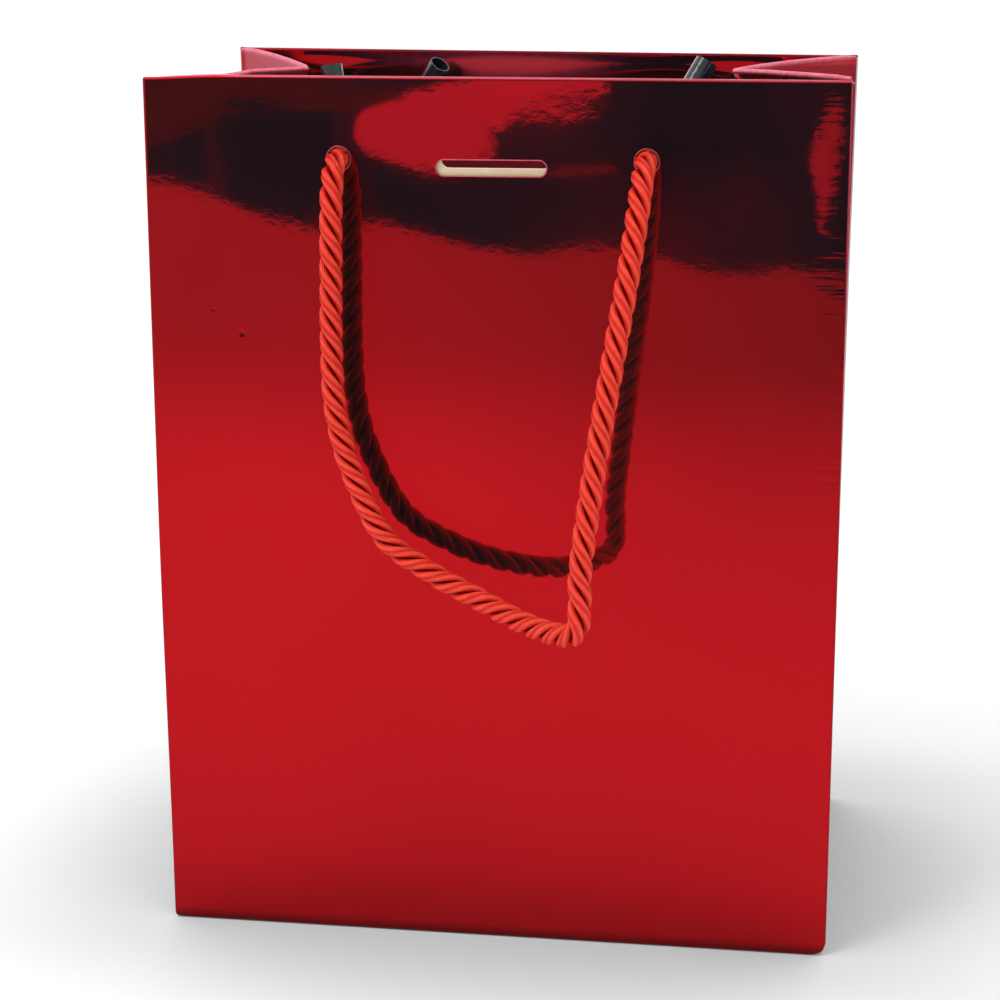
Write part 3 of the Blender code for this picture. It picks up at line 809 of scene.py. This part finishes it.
def build_wall(name, side, looks):
    """A wall's folded sheet with its punching, and the rounded lips that the punch leaves."""
    matrix = wall_matrix(side)
    grid, wear_and_light = wall_grid(name)
    skin = sheet(f"{name}_wall_sheet", moved(grid, matrix), wear_and_light, looks)
    punch(skin, outline_points(0, 0), *WALL_PUNCH, matrix)
    punch(skin, outline_points(INNER_SLOT_SHIFT, INNER_SLOT_RISE), *HEM_PUNCH, matrix)
    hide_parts(f"{name}_panel", f"{name}_hem")
    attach(skin, f"{name}_wall")

    points, faces = lip_rings(outline_points(0, 0, -LIP_INSET), LIP_RADIUS / 3, LIP_RADIUS)
    lips = add_mesh(f"{name}_punched_lips", moved(points, matrix), faces, [looks["foil"]])
    set_points(lips, "wear_and_light", np.full(len(points), LIP_WEAR))
    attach(lips, f"{name}_wall")
    slot = outline_points(INNER_SLOT_SHIFT, INNER_SLOT_RISE)[2:]
    points, faces = lip_rings(slot, CARD_FACE + CARD_LIP_RADIUS, CARD_LIP_RADIUS)
    lip = add_mesh(f"{name}_card_lip", moved(points, matrix), faces, [looks["paper"]])
    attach(lip, f"{name}_wall")


def lip_rings(loops, depth, radius):
    """Rounded edges along these loops of a wall, at one depth."""
    points, faces = [], []
    for loop in loops:
        line = np.stack([loop[:, 0], np.full(len(loop), depth), loop[:, 1]], axis=1)
        ring, quads = tube(line, radius, 8, True)
        faces += [[len(points) + i for i in quad] for quad in quads]
        points += list(ring)
    return np.array(points), faces


def gusset_corners(side, end):
    """Corners of half a gusset: its wall edge's foot and rim, then its middle crease's rim and foot."""
    foot_height = GUSSET_HALF / (1 + math.tan(LEAN))
    foot_tuck = math.sqrt(GUSSET_HALF ** 2 - foot_height ** 2)
    rim_half = GUSSET_HALF - MOUTH_DRAW_IN
    rim_tuck = math.sqrt(GUSSET_HALF ** 2 - rim_half ** 2)
    return (
        np.array((side * HALF_WIDTH, end * GUSSET_HALF, CREASE_Z)),
        np.array((side * HALF_WIDTH, end * rim_half, RIM_Z)),
        np.array((side * (HALF_WIDTH - rim_tuck), 0, RIM_Z)),
        np.array((side * (HALF_WIDTH - foot_tuck), 0, CREASE_Z + foot_height)),
    )


def wall_room(points):
    """How far along the bag a gusset's points may lie before they meet a wall, thicker at its hem."""
    x, z = np.abs(points[..., 0]), points[..., 2]
    outer = GUSSET_HALF - (z - CREASE_Z) * math.tan(LEAN)
    hem = smooth_step(HALF_WIDTH - x, 2 * CORNER_ROUND, HALF_WIDTH - HEM_HALF_WIDTH)
    hem = hem * (z > RIM_Z - HEM_HEIGHT - GRID_STEP)
    return outer - PAPER - GUSSET_CLEARANCE - hem * (WALL_THICK - PAPER)


def half_gusset(side, end, belly, sag, rise_out, face_wear_and_light):
    """Half a gusset's outer face, over its rim and down its hem, how pale it is painted for wear and painted
    highlight, and its rows below the hem.
    """
    base, corner, crease, foot = gusset_corners(side, end)
    across = np.linspace(0, 1, 26)[None, :, None] ** 0.8
    full = SEAM_SHARE + (1 - SEAM_SHARE) * smooth_step((1 - across) * GUSSET_HALF, 0, SEAM_LENGTH)
    radius = GUSSET_THICK / 2 + GUSSET_BEAD
    steps = round(PANEL_HEIGHT / (2 * GRID_STEP))
    down = np.array([*np.linspace(PANEL_HEIGHT - radius, 2 * GRID_STEP + BEAD_ROWS[0], steps), *BEAD_ROWS])
    up = (1 - (down + radius) / PANEL_HEIGHT)[:, None, None]
    edge = base + (corner - base) * up
    middle = foot + (crease - foot) * up
    reach = (edge - middle) * (1 - GUSSET_START / GUSSET_HALF)
    rounded = np.sqrt(across ** 2 + (CREASE_ROUND / GUSSET_HALF) ** 2)
    grid = middle + reach * across
    grid[:, :, 0] += reach[:, :, 0] * (rounded - across)[:, :, 0]
    slack = GUSSET_WAVE * np.sin(math.pi * across[:, :, 0]) * np.sin(1.3 * math.pi * up[:, :, 0] + 0.4)
    grid[:, :, 0] += side * slack
    bulge = smooth_step(across, BELLY_START, BELLY_FULL) * np.minimum((1 - across) / (1 - BELLY_FULL), 1)
    grid[:, :, 1] += (belly * bulge * up ** 1.5)[:, :, 0]
    grid[:, :, 2] -= ((sag * bulge - rise_out * across + CREASE_DIP * (1 - across) ** 3) * up ** 4)[:, :, 0]
    grid[:, :, 1] = end * np.minimum(end * grid[:, :, 1], wall_room(grid) - GUSSET_THICK * full[:, :, 0])
    if side * end < 0:
        grid, full = grid[:, ::-1], full[:, ::-1]
    normal = np.cross(np.gradient(grid, axis=1), np.gradient(grid, axis=0))
    normal /= np.linalg.norm(normal, axis=2, keepdims=True)
    rise = grid[-1] - grid[-2]
    rise /= np.linalg.norm(rise, axis=1, keepdims=True)
    bead = GUSSET_BEAD * np.exp(-(down / BEAD_LENGTH) ** 2)[:, None, None] * full
    inside = (grid - normal * (GUSSET_THICK * full + bead))[:-1][::-1]
    inside = inside[inside[:, :, 2].mean(axis=1) > RIM_Z - HEM_HEIGHT]
    grid = grid + normal * bead
    fold = []
    for angle in np.radians(np.linspace(22.5, 180, 8)):
        turned = rise * math.sin(angle) - normal[-1] * (1 - math.cos(angle))
        fold.append(grid[-1] + radius * full[0] * turned)
    whole = np.concatenate([grid, fold, inside])
    # The rim and its fold painted pale pink: wear, and in part a painted highlight
    row_wear_and_light = np.maximum(np.exp(-(down / GUSSET_FADE) ** 2), face_wear_and_light)
    wear_and_light = np.concatenate([row_wear_and_light, np.ones(len(fold)), row_wear_and_light[:-1][::-1][:len(inside)]])
    return settled(whole), np.repeat(wear_and_light[:, None], whole.shape[1], axis=1), len(grid) - len(inside) - 1


def lower_gusset(side, end):
    """Points of half the triangle at a gusset's foot."""
    base, _, _, foot = gusset_corners(side, end)
    up = np.linspace(*LOWER_GUSSET_SPAN, 26)[:, None]
    across = np.linspace(0, 1, 16)[None, :]
    if side * end < 0:
        across = across[:, ::-1]
    x = base[0] + (foot[0] - base[0]) * up + 0 * across
    y = end * GUSSET_HALF * (1 - up) * across
    z = base[2] + (foot[2] - base[2]) * up + 0 * across
    x = x - side * LOWER_GUSSET_BOW * np.sin(math.pi * up) * (1 - across ** 2)
    return settled(np.stack([x, y, z], axis=2))


def bottom_flap(end):
    """Points of one of the bottom's long flaps, foil down. The rear one steps up over the front one."""
    step = FLAP_REACH + FLAP_GAP
    low = np.linspace(GUSSET_HALF - BOTTOM_CURL, step + FLAP_STEP, 22)
    high = np.linspace(step, -FLAP_REACH, 16)
    y = np.concatenate([low, high])[:, None]
    half = HALF_WIDTH - FLAP_TAPER * (GUSSET_HALF - y) / (FLAP_REACH + GUSSET_HALF)
    x = end * half * np.linspace(-1, 1, 90)[None, :]
    z = np.concatenate([0 * low, 0 * high + (CREASE_Z if end > 0 else 0)])[:, None]
    return settled(np.stack([x, end * y + 0 * x, z + 0 * x], axis=2))


def bottom_tuck(side):
    """Points of a side tuck, which lies on the flaps, and of the lip that turns up behind a gusset."""
    base, _, _, foot = gusset_corners(side, 1)
    slope = side * (base[0] - foot[0]) / (foot[2] - base[2])
    flat = np.linspace(TUCK_DEPTH, TUCK_ROOM, 30)
    lip = np.linspace(0, TUCK_LIP, 7)[1:]
    inward = np.concatenate([flat, TUCK_ROOM + slope * lip])[:, None]
    rise = np.concatenate([0 * flat, lip])[:, None]
    half = TUCK_HALF - np.concatenate([flat, TUCK_ROOM + TUCK_LIP_TAPER * lip])[:, None]
    y = side * half * np.linspace(-1, 1, 60)[None, :]
    x = side * (HALF_WIDTH - inward) + 0 * y
    return settled(np.stack([x, y, TUCK_Z + rise + 0 * y], axis=2))


def build_gussets(looks):
    """The gussets and the triangles at their feet, between the base and their walls."""
    for side_name, side in (("left", -1), ("right", 1)):
        for end_name, end, wall in (("front", -1, "front_wall"), ("rear", 1, "back_wall")):
            name = f"{side_name}_gusset_{end_name}"
            grid, wear_and_light, plain_rows = half_gusset(side, end, *GUSSET_SLACK[name])
            half = sheet(f"{name}_sheet", grid, wear_and_light, looks, False, plain_rows)
            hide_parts(name, f"{name}_hem")
            grid = lower_gusset(side, end)
            wear_and_light = np.zeros(grid.shape[:2])
            foot = sheet(f"{side_name}_lower_gusset_{end_name}_sheet", grid, wear_and_light, looks, False)
            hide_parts(f"{side_name}_lower_gusset")
            for piece in (half, foot):
                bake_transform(piece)


def build_bottom(looks):
    """The bottom's two long flaps and the side tucks that lie on them."""
    for name, end in (("bottom_front_flap", -1), ("bottom_rear_flap", 1)):
        grid = bottom_flap(end)
        flap = sheet(f"{name}_sheet", grid, np.zeros(grid.shape[:2]), looks)
        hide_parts(name)
        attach(flap, "base")
    for name, side in (("left_tuck", -1), ("right_tuck", 1)):
        grid = bottom_tuck(side)
        tuck = sheet(f"{name}_sheet", grid, np.zeros(grid.shape[:2]), looks, cut=False)
        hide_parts(name)
        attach(tuck, "base")


def build_handle(name, side, looks):
    """A rope's free loop, which turns at the holes, and its two knotted ends inside the wall."""
    matrix = wall_matrix(side)
    route = np.array([(x, -out, PANEL_HEIGHT - drop) for x, out, drop in LOOP_ROUTE])
    path = moved(smooth_path(route, ROPE_STEP), matrix)
    along = np.minimum(np.arange(len(path)), np.arange(len(path))[::-1]) * ROPE_STEP
    radius = LAID_RADIUS * (1 - HOLE_PINCH * np.exp(-(along / PINCH_LENGTH) ** 2))
    loop = rope(f"{name}_rope_loop", path, radius, looks["rope"])
    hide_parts(f"{name}_handle")
    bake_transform(loop)
    for across_name, across in (("left", -1), ("right", 1)):
        build_rope_end(f"{name}_{across_name}", f"{name}_wall", -side * across, -side, matrix, looks)


def build_rope_end(name, wall, across, flip, matrix, looks):
    """A rope's knot behind a hole, and the open sleeve on its tail."""
    seat = np.array((across * HOLE_X, 0, PANEL_HEIGHT - HOLE_DROP))
    x, y, z = TAIL_ENDS[name]
    tail = np.array((flip * x, y, z))
    middle = np.array((0, KNOT_DEPTH_IN, 0))
    length = np.linalg.norm(tail)
    aim = tail / length
    route = [np.array((across * p[0], p[1], p[2])) for p in KNOT_ROUTE]
    route += [middle + aim * reach for reach in (*TAIL_START, length - TIP_HOLLOW)]
    path = moved(smooth_path(seat + np.array(route), ROPE_STEP), matrix)
    knot = rope(f"{name}_rope_end", path, KNOT_ROPE_RADIUS, looks["rope"])
    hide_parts(f"{name}_knot")
    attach(knot, wall)

    line = [seat + middle + aim * reach for reach in np.linspace(length - TIP_LENGTH, length, 12)]
    outer, faces = tube(line, TIP_RADIUS, TIP_SIDES)
    inner, inside = tube(line, TIP_RADIUS - TIP_WALL, TIP_SIDES)
    count = len(outer)
    faces = faces + [[count + i for i in reversed(face)] for face in inside]
    for ring, turn in ((0, 1), (len(line) - 1, -1)):
        for k in range(TIP_SIDES):
            near, far = ring * TIP_SIDES + k, ring * TIP_SIDES + (k + 1) % TIP_SIDES
            quad = [near, count + near, count + far, far]
            faces.append(quad[::turn])
    points = moved(np.concatenate([outer, inner]), matrix)
    sleeve = add_mesh(f"{name}_sleeve", points, faces, [looks["tip"]])
    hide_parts(f"{name}_tip")
    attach(sleeve, wall)


def paint_cad(looks):
    """Gives the flat CAD pieces that show as they are their own looks."""
    kinds = {
        "card": ("front_card", "back_card"),
        "board": ("base_board",),
        "paper": ("side_seam_tab",),
    }
    for kind, names in kinds.items():
        for name in names:
            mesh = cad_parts[name].data
            mesh.materials.clear()
            mesh.materials.append(looks[kind])


def mirror_only(made):
    """Makes a studio card show in the foil alone, and cast no shadow."""
    made.visible_camera = False
    made.visible_diffuse = False
    made.visible_transmission = False
    made.visible_shadow = False


def add_screen():
    """A dark blue, faintly mottled screen that stands far in front of the bag."""
    made, tree, shader = new_material("dark_screen")
    mottle = ranged(tree, scaled_noise(tree, 2.2, 2), 0.45, 0.7)
    colour = mixed_colour(tree, mottle, (0.010, 0.008, 0.010), (0.09, 0.07, 0.08))
    set_inputs(tree, shader, {
        "Base Color": colour, "Roughness": 1.0, "Specular IOR Level": 0.0,
        "Emission Color": SCREEN_TINT, "Emission Strength": SCREEN_GLOW,
    })
    count = len(SCREEN_FOOT)
    points = [(x, y, z) for z in (0.0, SCREEN_HEIGHT) for x, y in SCREEN_FOOT]
    faces = [(i, i + 1, count + i + 1, count + i) for i in range(count - 1)]
    mirror_only(add_mesh("screen", points, faces, [made], smooth=False))


def add_side_card():
    """A grey card to the right, which keeps the bag's right folds from mirroring the bright floor."""
    made, tree, shader = new_material("grey_card")
    set_inputs(tree, shader, {"Base Color": SIDE_CARD_GREY, "Roughness": 1.0, "Specular IOR Level": 0.0})
    points = [(x, y, z) for z in (0.0, SCREEN_HEIGHT) for x, y in SIDE_CARD_FOOT]
    mirror_only(add_mesh("side_card", points, [(0, 1, 3, 2)], [made], smooth=False))


def add_glow(name, depth, strength, outline):
    """A glowing card before the screen, which the foil mirrors as a bright patch."""
    made, tree, shader = new_material(name)
    cloud = mixed_colour(tree, scaled_noise(tree, 9, 2), (0.80, 0.85, 1.20), (0.95, 1.0, 1.45))
    set_inputs(tree, shader, {
        "Base Color": (0, 0, 0, 1), "Emission Color": cloud, "Emission Strength": strength,
    })
    line = smooth_path([(x, depth, z) for x, z in (*outline, outline[0])], GLOW_STEP)[:-1]
    mirror_only(add_mesh(name, line, [range(len(line))], [made], smooth=False))


def add_floor():
    """A pale floor with painted shade: darker far in front and to the right, and a painted contact shadow
    close round the bag.
    """
    made, tree, shader = new_material("pale_floor")
    place = add_node(tree, "ShaderNodeTexCoord").outputs["Object"]
    parts = add_node(tree, "ShaderNodeSeparateXYZ", {"Vector": place}).outputs
    ahead = maths(tree, "MULTIPLY", parts["Y"], -1.0)
    # Painted shade: the floor darker far in front of the bag and to its right
    far = ranged(tree, ahead, *FAR_SPAN, 1.0, FAR_SHADE_SHARE, "SMOOTHSTEP")
    bearing = maths(tree, "DIVIDE", parts["X"], maths(tree, "MAXIMUM", ahead, 0.01))
    right = ranged(tree, bearing, *RIGHT_BEARINGS, 0.0, RIGHT_SHADE_DEPTH)
    right = maths(tree, "MULTIPLY", right, ranged(tree, ahead, *RIGHT_SPAN))
    # A painted contact shadow close round the bag's foot
    along = maths(tree, "ABSOLUTE", ahead)
    foot = ranged(tree, along, GUSSET_HALF, FOOT_AHEAD, FOOT_SHADOW_DEPTH, 0.0, "SMOOTHSTEP")
    across = maths(tree, "ABSOLUTE", parts["X"])
    beside = ranged(tree, across, HALF_WIDTH, FOOT_BESIDE, 1.0, 0.0, "SMOOTHSTEP")
    foot = maths(tree, "SUBTRACT", 1.0, maths(tree, "MULTIPLY", foot, beside))
    share = maths(tree, "MULTIPLY", far, maths(tree, "SUBTRACT", 1.0, right))
    share = maths(tree, "MULTIPLY", share, foot)
    colour = mixed_colour(tree, share, (0, 0, 0), FLOOR_PALE)
    set_inputs(tree, shader, {"Base Color": colour, "Roughness": 0.9, "Specular IOR Level": 0.0})
    corners = [(x * FLOOR_REACH, y * FLOOR_REACH, 0) for x, y in ((-1, -1), (1, -1), (1, 1), (-1, 1))]
    add_mesh("floor", corners, [(0, 1, 2, 3)], [made], smooth=False)


def add_key():
    data = bpy.data.lights.new("key", "AREA")
    data.shape = "DISK"
    data.size = KEY_SIZE
    data.energy = KEY_POWER
    key = bpy.data.objects.new("key", data)
    key.location = KEY_PLACE
    key.rotation_euler = (Vector(KEY_AIM) - key.location).to_track_quat("-Z", "Y").to_euler()
    bpy.context.scene.collection.objects.link(key)


def build_stage():
    """A pale floor under soft light from all round, and what the foil mirrors in front."""
    add_floor()
    add_screen()
    add_side_card()
    for name, (depth, strength, outline) in GLOW_CARDS.items():
        add_glow(name, depth, strength, outline)
    add_key()
    world = bpy.data.worlds.new("studio")
    bpy.context.scene.world = world
    world.use_nodes = True
    tree = world.node_tree
    way = add_node(tree, "ShaderNodeTexCoord").outputs["Generated"]
    back = add_node(tree, "ShaderNodeSeparateXYZ", {"Vector": way}).outputs["Y"]
    background = tree.nodes["Background"]
    background.inputs["Color"].default_value = (1, 1, 1, 1)
    tree.links.new(ranged(tree, back, -1.0, 1.0, *SKY_STRENGTHS), background.inputs["Strength"])


def add_camera():
    data = bpy.data.cameras.new("camera")
    data.lens = LENS
    data.sensor_width = SENSOR_WIDTH
    camera = bpy.data.objects.new("camera", data)
    camera.location = CAMERA_PLACE
    camera.rotation_euler = CAMERA_TURN
    bpy.context.scene.collection.objects.link(camera)
    bpy.context.scene.camera = camera


def main():
    scene = bpy.context.scene
    scene.view_settings.view_transform = "Standard"
    scene.cycles.caustics_reflective = False
    looks = {
        "foil": foil_material(),
        "paper": paper_material(),
        "card": card_material(),
        "board": board_material(),
        "rope": rope_material(),
        "tip": tip_material(),
    }
    add_camera()
    build_stage()
    paint_cad(looks)
    build_handle("front", -1, looks)
    build_handle("back", 1, looks)
    build_wall("front", -1, looks)
    build_wall("back", 1, looks)
    build_gussets(looks)
    build_bottom(looks)


main()
